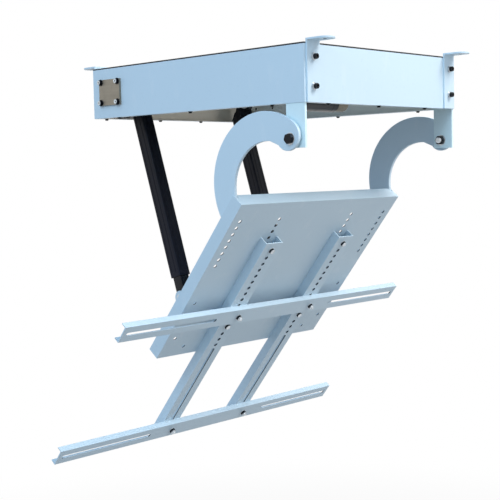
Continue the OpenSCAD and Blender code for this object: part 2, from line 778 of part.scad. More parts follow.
inner_tube(right);  // inner_tube_right
rod_eye(left);  // rod_eye_left
rod_eye(right);  // rod_eye_right
drive_nut(left);  // drive_nut_left
drive_nut(right);  // drive_nut_right
outer_tube(left);  // outer_tube_left
outer_tube(right);  // outer_tube_right
drive_motor(left);  // drive_motor_left
drive_motor(right);  // drive_motor_right
gear_head(left);  // gear_head_left
gear_head(right);  // gear_head_right
tube_collar(left);  // tube_collar_left
tube_collar(right);  // tube_collar_right
lead_screw(left);  // lead_screw_left
lead_screw(right);  // lead_screw_right
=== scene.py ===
"""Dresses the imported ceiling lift: rounded sheet steel, finishes, fasteners, light and camera."""

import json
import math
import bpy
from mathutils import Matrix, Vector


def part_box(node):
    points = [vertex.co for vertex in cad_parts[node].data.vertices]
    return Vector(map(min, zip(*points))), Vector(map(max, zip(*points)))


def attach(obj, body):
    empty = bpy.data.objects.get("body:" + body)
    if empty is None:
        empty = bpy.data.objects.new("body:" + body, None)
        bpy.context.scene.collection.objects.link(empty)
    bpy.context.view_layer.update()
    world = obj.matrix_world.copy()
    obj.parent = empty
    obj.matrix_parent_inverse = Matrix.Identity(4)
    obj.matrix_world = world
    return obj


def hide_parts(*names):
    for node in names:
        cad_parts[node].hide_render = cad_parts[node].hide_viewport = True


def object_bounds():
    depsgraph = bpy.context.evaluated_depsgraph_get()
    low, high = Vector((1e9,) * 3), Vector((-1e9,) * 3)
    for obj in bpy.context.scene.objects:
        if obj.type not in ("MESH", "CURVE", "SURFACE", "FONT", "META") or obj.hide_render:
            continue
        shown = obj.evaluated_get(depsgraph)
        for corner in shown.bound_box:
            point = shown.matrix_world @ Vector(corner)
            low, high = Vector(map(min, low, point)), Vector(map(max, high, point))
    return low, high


bl_info = {
    "name": "Ceiling Television Lift",
    "version": (1, 0, 0),
    "blender": (4, 5, 0),
    "location": "3D View > Sidebar > Ceiling Lift",
    "description": "Rounded pieces, finishes, fasteners and a studio for a flip-down ceiling lift",
    "category": "Object",
}

import bmesh
import bpy
from bpy.props import FloatProperty, FloatVectorProperty, IntProperty, PointerProperty
from bpy.types import Operator, Panel, PropertyGroup
from mathutils import Quaternion, Vector

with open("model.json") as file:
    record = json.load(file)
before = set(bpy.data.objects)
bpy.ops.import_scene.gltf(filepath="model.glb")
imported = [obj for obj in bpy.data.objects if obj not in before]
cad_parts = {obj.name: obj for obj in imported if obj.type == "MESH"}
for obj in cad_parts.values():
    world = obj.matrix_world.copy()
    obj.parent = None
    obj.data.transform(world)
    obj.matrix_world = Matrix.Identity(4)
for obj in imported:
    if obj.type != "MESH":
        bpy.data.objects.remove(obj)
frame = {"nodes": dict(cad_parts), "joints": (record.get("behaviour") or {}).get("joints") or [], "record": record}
CAD_LOW, CAD_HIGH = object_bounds()

RECORD = frame["record"]
BODY_OF = {node: body for body, nodes in RECORD["behaviour"]["bodies"].items() for node in nodes}
SLOT_OF = {row["node"]: row["material_slot"] for row in RECORD["subparts"]}
JOINTS = {joint["name"]: joint for joint in frame["joints"]}
SIDES = ("left", "right")
HOUSING = "ceiling_frame"

MM = 0.001
WHOLE_TURN = 2 * math.pi

# Packed corners this near are merged, and facets turned this little from each other are joined
MERGE = 1e-6
FLAT = math.radians(0.5)

# Edges turned more than FOLD are rounded; shading is smooth below SMOOTH
FOLD = math.radians(28)
SMOOTH = math.radians(32)

# Least area of a face that counts as a broad one beside a fold
BROAD = 0.003

# Largest facet, widest turn between facets and thickest sheet in a hole or slot that gets painted shade
BORE_FACET = 14e-6
BORE_TURN = math.radians(50)
BORE_SHEET = 6.5 * MM

# Flip pivots
PIVOT_HEAD, PIVOT_WASHER, PIVOT_NUT = 7.0 * MM, 2.0 * MM, 11.0 * MM
PIVOT_ACROSS, PIVOT_WASHER_R, PIVOT_R = 20.0 * MM, 13.0 * MM, 7.0 * MM
PIVOT_PITCH, PIVOT_THREAD, PIVOT_TURN = 2.0 * MM, 17.0 * MM, 1.0

# Fixing screws and washers of the housing
SPRING_WASHER, SPRING_WASHER_R = 1.9 * MM, 6.8 * MM
BRACKET_WASHER_R, BRACKET_BORE, BEARING_BORE = 8.5 * MM, 4.2 * MM, 3.6 * MM
BRACKET_SCREW = {"radius": 6.0 * MM, "height": 7.0 * MM, "socket": 5.5 * MM}
# The bearing screws' end faces are worn bright as a painted highlight.
BEARING_SCREW = {"radius": 6.0 * MM, "height": 6.4 * MM, "socket": 3.4 * MM, "worn_painted_glint": 0.9}
LIP_SCREW = {"radius": 5.4 * MM, "across": 7.0 * MM, "height": 4.0 * MM}
LIP_HEAD = 3.5 * MM

# Power unit, from its tail to its spindle
UNIT_TAIL, UNIT_SHELL, UNIT_NOSE = 8.0 * MM, 144.0 * MM, 38.0 * MM
UNIT_TAIL_R, UNIT_SPINDLE_R, UNIT_FINS = 12.0 * MM, 6.0 * MM, 8

WHITE = (1.0, 1.0, 1.0, 1.0)
SKY = {"right": (0.36, 0.36, 0.37), "left": (0.35, 0.46, 0.62), "above": (0.64, 0.76, 0.90)}
FLOOR_TONES = (0.28, 0.27, 0.26), (0.26, 0.255, 0.25)

# Place, side and colour of each square lamp
LAMPS = {"Key": ((0.9, -2.65, 2.4), 1.6, (1.0, 0.965, 0.92)),
         "Bounce": ((0.5, -2.7, -0.7), 1.0, (1.0, 0.98, 0.95)),
         "Fill": ((-2.9, -0.9, 1.2), 1.0, (0.64, 0.84, 1.0))}


def number_field(label, description, default, unit="LENGTH"):
    """A number of the panel, in metres unless another kind of unit is named."""
    return FloatProperty(name=label, description=description, default=default, unit=unit,
                         precision=6)


def colour_field(label, description, default):
    return FloatVectorProperty(name=label, description=description, default=default,
                               subtype="COLOR", size=3)


class EdgeSizes(PropertyGroup):
    """Radii of the rounded edges."""

    sheet: number_field("Sheet edges", "Radius on the folded housing sheet", 0.9 * MM)
    fold: number_field("Folds", "Outer radius where the sheet is folded", 2.8 * MM)
    arm: number_field("Arm edges", "Radius on the hook arms and lugs", 1.1 * MM)
    profile: number_field("Profile edges", "Radius on channels and rails", 0.8 * MM)
    machined: number_field("Machined edges", "Chamfer on turned and milled pieces", 0.5 * MM)


class FinishTones(PropertyGroup):
    """Colours and textures of the finishes."""

    coat: colour_field("Powder coat", "Pale blue-white of the powder coat", (0.62, 0.77, 0.87))
    # The two inside tones are painted light, paler and warmer than the coat where the housing's inside lies in
    # shade.
    rear_inside_painted_light: colour_field("Rear inside", "Warm painted_light_tone in the rear panel", (0.92, 0.81, 0.67))
    sides_inside_painted_light: colour_field("Sides inside", "Pale inside of the sides", (0.94, 0.97, 0.93))
    coat_gloss: number_field("Coat roughness", "Roughness of the powder coat", 0.42, "NONE")
    peel: number_field("Orange peel", "Height of the powder coat's orange peel", 0.035 * MM)
    zinc: colour_field("Zinc", "Bright zinc plating", (0.62, 0.68, 0.73))
    bare: colour_field("Bare steel", "Rolled steel of the bearing plates", (0.30, 0.27, 0.22))
    black: colour_field("Black oxide", "Black screws, bolts and washers", (0.002, 0.003, 0.006))
    tube: colour_field("Tube black", "Navy-black of the drive tubes", (0.0015, 0.0025, 0.0065))


class FastenerSizes(PropertyGroup):
    """Sizes of the screws, nuts and weld beads."""

    bolt: number_field("Bolt diameter", "Diameter of the fixing bolts", 8 * MM)
    across: number_field("Across flats", "Width of hex heads and nuts", 13 * MM)
    head: number_field("Head height", "Height of the hex heads", 5.5 * MM)
    nut: number_field("Nut height", "Height of the hex nuts", 6.5 * MM)
    washer: number_field("Washer radius", "Outer radius of the washers", 8 * MM)
    washer_depth: number_field("Washer thickness", "Thickness of the flat washers", 1.6 * MM)
    pitch: number_field("Thread pitch", "Pitch of the bolts' threads", 1.25 * MM)
    seed: IntProperty(name="Clocking seed", description="Seed for how far each head is turned",
                      default=7)
    bead: number_field("Weld bead", "Radius of the weld beads", 1.9 * MM)


class StageSizes(PropertyGroup):
    """Camera, lamps and floor."""

    lens: number_field("Lens", "Focal length on a 36 mm sensor", 76.91, "CAMERA")
    eye: FloatVectorProperty(name="Eye", description="Place of the camera",
                             default=(-1.9511, -1.8057, -0.2724), subtype="TRANSLATION", size=3)
    azimuth: number_field("Azimuth", "Angle of the camera round the lift",
                          math.radians(-45.92), "ROTATION")
    elevation: number_field("Elevation", "Angle of the camera above the horizon",
                            math.radians(4.18), "ROTATION")
    roll: number_field("Roll", "Turn of the camera about its own axis",
                       math.radians(-1.29), "ROTATION")
    floor_drop: number_field("Floor drop", "Distance of the floor below the lift", 0.75)
    key: number_field("Key lamp", "Power of the high front lamp", 110.0, "POWER")
    bounce: number_field("Bounce lamp", "Power of the low front lamp", 9.0, "POWER")
    fill: number_field("Fill lamp", "Power of the left lamp", 30.0, "POWER")
    sky: number_field("Sky", "Strength of the surrounding light", 1.0, "NONE")


class Value:
    """A node's output socket that arithmetic can be written on."""

    def __init__(self, tree, socket):
        self.tree = tree
        self.socket = socket

    def maths(self, operation, first, second):
        return self.tree.node("ShaderNodeMath", {"operation": operation}, {0: first, 1: second})

    def __add__(self, other):
        return self.maths("ADD", self, other)

    def __radd__(self, other):
        return self.maths("ADD", other, self)

    def __sub__(self, other):
        return self.maths("SUBTRACT", self, other)

    def __rsub__(self, other):
        return self.maths("SUBTRACT", other, self)

    def __mul__(self, other):
        return self.maths("MULTIPLY", self, other)

    def __rmul__(self, other):
        return self.maths("MULTIPLY", other, self)

    def most(self, other):
        return self.maths("MAXIMUM", self, other)

    def above(self, edge, softness):
        """0 below the edge and 1 above it, blended over the softness."""
        ends = {"Value": self, "From Min": edge - softness, "From Max": edge + softness}
        return self.tree.node("ShaderNodeMapRange", {"interpolation_type": "SMOOTHSTEP"}, ends,
                              "Result")


class Tree:
    """A node tree, with one way to add nodes to it."""

    def __init__(self, tree):
        self.tree = tree

    def feed(self, socket, value):
        """Links a Value to an input socket, or writes a plain value on it."""
        if isinstance(value, Value):
            self.tree.links.new(value.socket, socket)
        else:
            socket.default_value = value

    def node(self, kind, settings=None, inputs=None, output=0):
        """Adds a node with its settings and inputs, and gives one of its outputs."""
        node = self.tree.nodes.new(kind)
        for name, value in (settings or {}).items():
            setattr(node, name, value)
        for place, value in (inputs or {}).items():
            self.feed(node.inputs[place], value)
        return Value(self, node.outputs[output]) if node.outputs else None


class Shading(Tree):
    """A shader tree, emptied, and short ways to add to it."""

    def __init__(self, owner):
        owner.use_nodes = True
        super().__init__(owner.node_tree)
        self.tree.nodes.clear()

    def attribute(self, name):
        return self.node("ShaderNodeAttribute", {"attribute_name": name}, output="Fac")

    def split(self, vector):
        node = self.tree.nodes.new("ShaderNodeSeparateXYZ")
        self.feed(node.inputs[0], vector)
        return [Value(self, out) for out in node.outputs]

    def mix(self, factor, first, second):
        """A colour between two, each a Value or three numbers."""
        colour = [c if isinstance(c, Value) else (*c, 1.0) for c in (first, second)]
        return self.node("ShaderNodeMix", {"data_type": "RGBA"},
                         {0: factor, 6: colour[0], 7: colour[1]}, output=2)

    def seen_as(self, share, surface, shown):
        """The surface, with what the background rays are shown in its place."""
        rays = [self.node("ShaderNodeLightPath", output="Is %s Ray" % kind)
                for kind in ("Camera", "Glossy", "Transmission")]
        factor = rays[0].most(rays[1]).most(rays[2])
        if share is not None:
            factor = factor * share
        return self.node("ShaderNodeMixShader", inputs={0: factor, 1: surface, 2: shown})


class Finish(Shading):
    """One material with its Principled shader and the nodes that feed it."""

    def __init__(self, name, **sockets):
        self.material = bpy.data.materials.new(name)
        super().__init__(self.material)
        self.output = self.tree.nodes.new("ShaderNodeOutputMaterial")
        self.shader = self.tree.nodes.new("ShaderNodeBsdfPrincipled")
        self.surface(self.principled())
        self.place = self.node("ShaderNodeTexCoord", output="Object")
        for socket, value in sockets.items():
            self.set(socket.replace("_", " "), value)

    def principled(self):
        return Value(self, self.shader.outputs[0])

    def surface(self, shader):
        self.feed(self.output.inputs["Surface"], shader)

    def set(self, socket, value):
        self.feed(self.shader.inputs[socket], value)

    def noise(self, scale, detail=2.0, stretch=(1.0, 1.0, 1.0), turn=(0.0, 0.0, 0.0)):
        place = self.node("ShaderNodeMapping",
                          inputs={"Vector": self.place, "Scale": stretch, "Rotation": turn})
        return self.node("ShaderNodeTexNoise",
                         inputs={"Vector": place, "Scale": scale, "Detail": detail})

    def painted(self, colour, roughness, relief, depth):
        """The material, with what varies over its surface fed in."""
        self.set("Base Color", colour)
        self.set("Roughness", roughness)
        bump = {"Height": relief, "Distance": depth}
        self.set("Normal", self.node("ShaderNodeBump", inputs=bump))
        return self.material

    def normal(self):
        return self.split(self.node("ShaderNodeNewGeometry", output="Normal"))


def shade(colour, share):
    return tuple(min(1.0, c * share) for c in colour)


def powder_coat(name, tones, lightness=1.0, inside=None):
    """Pale coat with orange peel, a slow drift of tone, dust, rub marks and painted shade in bores; a lightness
    other than 1 and the inside tones are painted light or shade.
    """
    finish = Finish(name, IOR=1.5)
    drift = finish.noise(2.6, 3.0)
    peel = finish.noise(620.0, 1.5)
    grit = finish.noise(2300.0, 1.0)
    dust = finish.noise(150.0, 4.0).above(0.66, 0.05)
    rub = finish.noise(38.0, 5.0, (1.0, 1.0, 0.35)).above(0.63, 0.05)
    # A lightness above 1 paints light on the whole piece, below 1 paints shade.
    coat = shade(tones.coat, lightness)
    tone = finish.mix(drift, shade(coat, 0.965), shade(coat, 1.03))
    tone = finish.mix(dust * 0.10, tone, shade(coat, 0.72))
    tone = finish.mix(rub * 0.06, tone, (0.92, 0.95, 0.98))
    # Painted shade: holes, slot ends and the channels' slots are drawn near black.
    tone = finish.mix(finish.attribute("bore") * 0.94, tone, (0.03, 0.035, 0.04))
    # The inside tones paint light on the inner faces.
    if inside is not None:
        tone = inside(finish, tones, tone)
    roughness = tones.coat_gloss + 0.10 * (drift - 0.5) + 0.10 * dust - 0.06 * rub
    return finish.painted(tone, roughness, peel + 0.18 * grit, tones.peel)


def painted_light_panels_inside(finish, tones, tone):
    """Painted light on the inner faces: paler on the side panels and warm on the end panels, for light that the
    shaded inside lacks.
    """
    normal, place = finish.normal(), finish.split(finish.place)
    inwards = (-1.0 * (normal[0] * place[0] + normal[1] * place[1])).above(0.10, 0.05)
    across = (normal[1] * normal[1]).above(0.5, 0.2)
    return finish.mix(inwards, tone, finish.mix(across, tones.sides_inside_painted_light, tones.rear_inside_painted_light))


def painted_light_top_inside(finish, tones, tone):
    """Painted light: paler on the top plate's underside."""
    downwards = (-1.0 * finish.normal()[2]).above(0.5, 0.1)
    return finish.mix(downwards, tone, tones.sides_inside_painted_light)


def zinc_plate(tones):
    """Bright zinc with faint spangle and stains, and painted shade, near black, on the sides of heads and nuts."""
    finish = Finish("Bright zinc", Metallic=1.0)
    spangle = finish.node("ShaderNodeTexVoronoi", inputs={"Vector": finish.place, "Scale": 420.0},
                          output="Distance")
    stain = finish.noise(95.0, 4.0)
    base = tones.zinc
    tone = finish.mix(spangle * 0.5, base, shade(base, 0.80))
    tone = finish.mix(stain.above(0.58, 0.10) * 0.45, tone, shade(base, 0.55))
    # Painted shade on the sides of heads and nuts.
    tone = finish.mix(finish.attribute("side") * 0.96, tone, (0.006, 0.012, 0.020))
    return finish.painted(tone, 0.20 + 0.20 * stain, finish.noise(900.0, 2.0), 0.01 * MM)


def rolled_steel(tones):
    """Bare rolled plate: grain along its length, brown-grey scale and darker patches."""
    finish = Finish("Rolled steel", Metallic=0.75)
    grain = finish.noise(260.0, 4.0, (1.0, 0.06, 1.0))
    scale = finish.noise(34.0, 5.0)
    base = tones.bare
    tone = finish.mix(grain, shade(base, 0.86), shade(base, 1.10))
    tone = finish.mix(scale.above(0.55, 0.12) * 0.5, tone, shade(base, 0.80))
    return finish.painted(tone, 0.40 + 0.20 * scale, grain + 0.4 * scale, 0.02 * MM)


def ground_steel(tones):
    """Shafts and screws with fine turning lines round X and a film of oil."""
    finish = Finish("Ground steel", Metallic=1.0)
    lines = finish.noise(2400.0, 2.0, (1.0, 0.02, 0.02))
    film = finish.noise(60.0, 3.0)
    tone = finish.mix(film.above(0.5, 0.2) * 0.5, tones.zinc, (0.42, 0.40, 0.36))
    return finish.painted(tone, 0.22 + 0.14 * film + 0.05 * lines, lines, 0.006 * MM)


def black_oxide(tones):
    """Black screws with worn high spots, some with their end faces worn to bright steel, which paints a highlight.
    """
    finish = Finish("Black oxide", Specular_IOR_Level=0.22)
    # Painted highlight: end faces marked worn are drawn as bright metallic steel.
    worn_painted_glint = (finish.attribute("side") * -1.0).most(0.0)
    wear = finish.noise(520.0, 4.0).above(0.62, 0.06)
    base = tones.black
    tone = finish.mix(wear * 0.3, base, shade(base, 8.0))
    tone = finish.mix(worn_painted_glint, tone, tones.zinc)
    finish.set("Metallic", worn_painted_glint)
    roughness = 0.17 + 0.12 * finish.noise(210.0, 3.0) - 0.05 * wear
    return finish.painted(tone, roughness, finish.noise(1500.0, 2.0), 0.008 * MM)


def tube_black(tones, direction):
    """Drawn and anodised tube: long draw lines, a painted navy sheen towards its foot and handling marks."""
    turn = (math.atan2(direction[1], direction[2]), 0.0, 0.0)
    finish = Finish("Tube black", Specular_IOR_Level=0.16)
    lines = finish.noise(900.0, 3.0, (1.0, 1.0, 0.012), turn)
    marks = finish.noise(70.0, 4.0)
    base = tones.tube
    tone = finish.mix(lines, shade(base, 0.7), shade(base, 1.4))
    # Painted sheen: the tube's lower part is drawn a lighter navy.
    foot = 1.0 - finish.split(finish.place)[2].above(-0.36, 0.20)
    tone = finish.mix(foot * 0.5, tone, shade(base, 3.4))
    tone = finish.mix(marks.above(0.60, 0.08) * 0.3, tone, shade(base, 3.0))
    return finish.painted(tone, 0.34 + 0.10 * marks + 0.06 * lines, lines, 0.010 * MM)


def enamel_black(name, roughness, grain):
    """Black enamel or moulded plastic with a fine leather-like grain."""
    finish = Finish(name)
    cells = finish.node("ShaderNodeTexVoronoi", {"feature": "DISTANCE_TO_EDGE"},
                        {"Vector": finish.place, "Scale": grain}, output="Distance")
    dust = finish.noise(85.0, 4.0).above(0.60, 0.10)
    tone = finish.mix(dust * 0.25, (0.010, 0.010, 0.012), (0.05, 0.05, 0.05))
    return finish.painted(tone, roughness + 0.15 * dust, cells.above(0.12, 0.10), 0.02 * MM)


def seal_rubber():
    """Black sponge with open pores."""
    finish = Finish("Black sponge rubber")
    pores = finish.noise(1400.0, 3.0)
    tone = finish.mix(pores, (0.006, 0.006, 0.008), (0.022, 0.022, 0.026))
    return finish.painted(tone, 0.72 + 0.15 * pores, pores, 0.05 * MM)


# Lightness of each powder-coated slot, and the painted light on its inner faces; the lugs' 1.22 is painted light
# and the plate's 0.95 painted shade
COATS = {"powder_coat": (1.0, painted_light_panels_inside), "top_coat": (1.0, painted_light_top_inside),
         "bracket_coat": (1.0, None), "arm_coat": (1.0, None), "lug_coat": (1.22, None),
         "plate_coat": (0.95, None), "profile_coat": (0.98, None)}


def make_finishes(tones):
    """One material for each slot of the record and for the few finishes beside them."""
    made = {slot: powder_coat(slot.replace("_", " ").capitalize(), tones, lightness, inside)
            for slot, (lightness, inside) in COATS.items()}
    made["zinc"] = zinc_plate(tones)
    made["bare_steel"] = rolled_steel(tones)
    made["ground_steel"] = ground_steel(tones)
    made["black_screws"] = black_oxide(tones)
    made["black_tube"] = tube_black(tones, JOINTS["tube_slide_left"]["axis"])
    made["black_case"] = enamel_black("Moulded black", 0.5, 700.0)
    made["power_case"] = enamel_black("Motor enamel", 0.32, 260.0)
    made["seal"] = seal_rubber()
    for slot, material in made.items():
        material["lift_slot"] = slot


def finishes():
    """The materials by the name of the slot that each serves, made at the first call."""
    if not any("lift_slot" in m for m in bpy.data.materials):
        make_finishes(bpy.context.scene.lift_tones)
    found = {m["lift_slot"]: m for m in bpy.data.materials if "lift_slot" in m}
    found["dark_rod"] = found["black_screws"]
    return found


def packed_mesh(node):
    """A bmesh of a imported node: its triangles merged, and its flat faces joined again."""
    source = frame["nodes"][node].data
    mesh = bmesh.new()
    corners = [mesh.verts.new(v.co) for v in source.vertices]
    for face in source.polygons:
        mesh.faces.new([corners[i] for i in face.vertices])
    bmesh.ops.remove_doubles(mesh, verts=mesh.verts, dist=MERGE)
    bmesh.ops.dissolve_limit(mesh, angle_limit=FLAT, verts=mesh.verts, edges=mesh.edges)
    return mesh


def islands(node):
    """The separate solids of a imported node, each as a list of points."""
    mesh = packed_mesh(node)
    left, found = set(mesh.verts), []
    while left:
        front, solid = [left.pop()], []
        while front:
            vert = front.pop()
            solid.append(vert.co.copy())
            for edge in vert.link_edges:
                other = edge.other_vert(vert)
                if other in left:
                    left.remove(other)
                    front.append(other)
        found.append(solid)
    mesh.free()
    return found


def new_object(name, data):
    piece = bpy.data.objects.new(name, data)
    bpy.context.scene.collection.objects.link(piece)
    return piece


def mesh_data(name, mesh):
    """A mesh block made from a bmesh, which is freed."""
    data = bpy.data.meshes.new(name)
    mesh.to_mesh(data)
    mesh.free()
    return data


def settle(piece, body, material=None, replaced=None):
    """Gives a finished piece its material and body, and hides the imported node that it stands for."""
    if material is not None:
        piece.data.materials.clear()
        piece.data.materials.append(material)
    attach(piece, body)
    if replaced:
        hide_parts(replaced)


def evaluated_copy(name, piece):
    """The piece with its modifiers applied, as a plain mesh object; the first one is deleted."""
    graph = bpy.context.evaluated_depsgraph_get()
    mesh = bpy.data.meshes.new_from_object(piece.evaluated_get(graph), depsgraph=graph,
                                           preserve_all_data_layers=True)
    bpy.data.objects.remove(piece)
    mesh.name = name
    return new_object(name, mesh)


def weigh_edges(mesh, radius, fold):
    """Marks each sharp edge with its share of the fold's radius, all of it between broad faces."""
    layer = mesh.edges.layers.float.new("bevel_weight_edge")
    for edge in mesh.edges:
        if len(edge.link_faces) == 2 and edge.calc_face_angle() > FOLD:
            broad = edge.is_convex and min(f.calc_area() for f in edge.link_faces) > BROAD
            edge[layer] = 1.0 if broad else radius / fold


def mark_painted_bore_shade(mesh, whole_slots):
    """Marks the facets of holes and slot ends, or of whole slots, that get painted shade."""
    layer = mesh.faces.layers.float.new("bore")
    for face in mesh.faces:
        narrow = len(face.verts) == 4 and (whole_slots or face.calc_area() < BORE_FACET)
        turns = [edge for edge in face.edges
                 if MERGE < edge.calc_face_angle() < BORE_TURN and not edge.is_convex]
        face[layer] = float(narrow and any(edge.calc_length() < BORE_SHEET for edge in turns))


def dress(node, radius, finish=None, segments=2, fold=None, painted_shade_slots=False):
    """Stands a rounded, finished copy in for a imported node."""
    mesh = packed_mesh(node)
    mark_painted_bore_shade(mesh, painted_shade_slots)
    weigh_edges(mesh, radius, fold or radius)
    data = mesh_data(node, mesh)
    data.shade_smooth()
    raw = new_object(node + "_raw", data)
    bevel = raw.modifiers.new("Rounded edges", "BEVEL")
    bevel.width = fold or radius
    bevel.segments = segments
    bevel.limit_method = "WEIGHT"
    bevel.harden_normals = True
    piece = evaluated_copy(node + "_finished", raw)
    slot = SLOT_OF[node]
    settle(piece, BODY_OF[node], finishes()[finish or slot], node)


def plate_axes():
    """Unit vectors down the screen plate and out of its back."""
    rails = next(m for m in RECORD["mounts"] if m["name"] == "tv_rails")
    behind = -Vector(rails["axis"]).normalized()
    return Vector((0.0, behind.z, -behind.y)), behind


def plate_point(x, along, behind):
    """A point given across, down and behind the plate, counted from the flip pivot."""
    down, back = plate_axes()
    pivot = Vector(JOINTS["flip"]["pos_m"])
    return Vector((x, pivot.y, pivot.z)) + down * along + back * behind


def plate_box(node):
    """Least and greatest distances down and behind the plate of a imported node."""
    down, back = plate_axes()
    pivot = Vector(JOINTS["flip"]["pos_m"])
    offsets = [v.co - pivot for v in frame["nodes"][node].data.vertices]
    along = [o.dot(down) for o in offsets]
    behind = [o.dot(back) for o in offsets]
    return min(along), max(along), min(behind), max(behind)


def hexagonal(across, limit=None):
    """Radius of a hexagon at an angle, cut back to a circle where a limit is given."""
    def radius(angle):
        turned_by = (angle % (math.pi / 3)) - math.pi / 6
        corner = across / 2 / math.cos(turned_by)
        return corner if limit is None else min(corner, limit)
    return radius


def knurled(radius, ridges, depth):
    """Radius of a knurled grip at an angle."""
    return lambda angle: radius - depth * (0.5 + 0.5 * math.cos(ridges * angle))


def join_rings(mesh, rings, closed):
    """Quads from each ring of vertices to the next, and from the last to the first where closed."""
    for lower, upper in zip(rings, rings[1:] + rings[:1] if closed else rings[1:]):
        for i in range(len(lower)):
            j = (i + 1) % len(lower)
            mesh.faces.new((lower[i], lower[j], upper[j], upper[i]))


def turned(profile, samples=48, bored=False):
    """A solid round Z from rings of (radius, height), capped at both ends or bored right through.

    A third number marks a ring with painted light: up to 1 for painted shade on a side, down to -1 for an end face
    worn bright as a painted highlight."""
    mesh = bmesh.new()
    # The side attribute carries painted shade on sides and painted highlights on worn end faces.
    side = mesh.verts.layers.float.new("side")
    rings = []
    for radius, height, *mark in profile:
        ring = []
        for i in range(samples):
            angle = WHOLE_TURN * i / samples
            r = radius(angle) if callable(radius) else radius
            vert = mesh.verts.new((r * math.cos(angle), r * math.sin(angle), height))
            vert[side] = mark[0] if mark else 0.0
            ring.append(vert)
        rings.append(ring)
    join_rings(mesh, rings, bored)
    if not bored:
        mesh.faces.new(list(reversed(rings[0])))
        mesh.faces.new(rings[-1])
    bmesh.ops.recalc_face_normals(mesh, faces=mesh.faces)
    data = mesh_data("turned", mesh)
    data.shade_smooth()
    data.set_sharp_from_angle(angle=SMOOTH)
    return data


def thread(radius, pitch, start, end):
    """Rings of a thread's crests and roots between two heights."""
    steps = max(1, round(abs(end - start) / pitch))
    height = (end - start) / steps
    rings = []
    for i in range(steps):
        rings.append((radius, start + height * (i + 0.30)))
        rings.append((radius - 0.55 * pitch, start + height * (i + 0.80)))
    return rings


def hex_rings(across, base, height):
    """A hexagon with painted shade on its sides, whose corners are chamfered at both ends."""
    flat = across / 2
    return [(hexagonal(across, 0.99 * flat), base, 1.0),
            (hexagonal(across, 1.10 * flat), base + 0.06 * height, 1.0),
            (hexagonal(across), base + 0.14 * height, 1.0),
            (hexagonal(across), base + 0.80 * height, 1.0),
            (hexagonal(across, 1.09 * flat), base + 0.91 * height, 0.8),
            (0.97 * flat, base + height, 0.3), (0.90 * flat, base + height)]


def washer_rings(radius, base, thickness):
    """The outside of a washer with softened corners."""
    soft = 0.22 * thickness
    return [(radius - soft, base), (radius, base + soft), (radius, base + thickness - soft),
            (radius - soft, base + thickness)]


def washer_mesh(bore, *layers):
    """A stack of washers on Z 0, each given by its radius and thickness."""
    rings, base = [(bore, 0.0)], 0.0
    for radius, thickness in layers:
        rings += washer_rings(radius, base, thickness)
        base += thickness
    return turned(rings + [(bore, base)], bored=True)


def bolt_mesh(sizes, shank, washer):
    """A hex bolt whose seat is at Z 0, with its head above and its threaded shank below."""
    r = sizes.bolt / 2
    rings = [(0.72 * r, -shank), *thread(r, sizes.pitch, -shank + 0.4 * MM, -0.2 * MM)]
    if washer:
        rings += washer_rings(sizes.washer, 0.0, washer)
    rings += hex_rings(sizes.across, washer, sizes.head)
    rings.append((0.80 * sizes.across / 2, washer + sizes.head * 0.985))
    return turned(rings)


def nut_mesh(sizes, washer=0.0):
    """A hex nut on its seat at Z 0; its bore is countersunk down to the thread."""
    r, top = sizes.bolt / 2, washer + sizes.nut
    rings = [(1.02 * r, 0.0)]
    if washer:
        rings += washer_rings(sizes.washer, 0.0, washer)
    rings += hex_rings(sizes.across, washer, sizes.nut)
    rings += [(1.25 * r, top), (1.02 * r, top - 0.9 * MM), (1.02 * r, 0.02 * MM)]
    return turned(rings, bored=True)


def cap_screw_mesh(radius, height, socket, worn_painted_glint=0.0):
    """A knurled socket-head screw on its seat at Z 0, whose end face may be worn bright as a painted highlight."""
    grip = knurled(radius, 32, 0.28 * MM)
    rings = [(radius - 0.5 * MM, 0.0), (grip, 0.5 * MM), (grip, 0.78 * height),
             (radius - 0.1 * MM, 0.84 * height), (radius - 0.35 * MM, 0.95 * height, -0.4 * worn_painted_glint),
             (radius - 0.9 * MM, height, -worn_painted_glint), (0.62 * socket + 0.3 * MM, height, -worn_painted_glint),
             (hexagonal(socket, 0.60 * socket), height - 0.4 * MM, -worn_painted_glint),
             (hexagonal(socket), 0.45 * height), (0.2 * socket, 0.34 * height)]
    return turned(rings, 128)


def flange_screw_mesh(radius, across, height):
    """A flanged hex screw on its seat at Z 0."""
    flange = 1.4 * MM
    rings = [(radius - 0.2 * MM, 0.0), (radius, 0.3 * MM), (radius, 0.7 * MM),
             (0.62 * across, flange - 0.1 * MM), *hex_rings(across, flange, height - flange),
             (0.34 * across, height - 0.5 * MM)]
    return turned(rings)


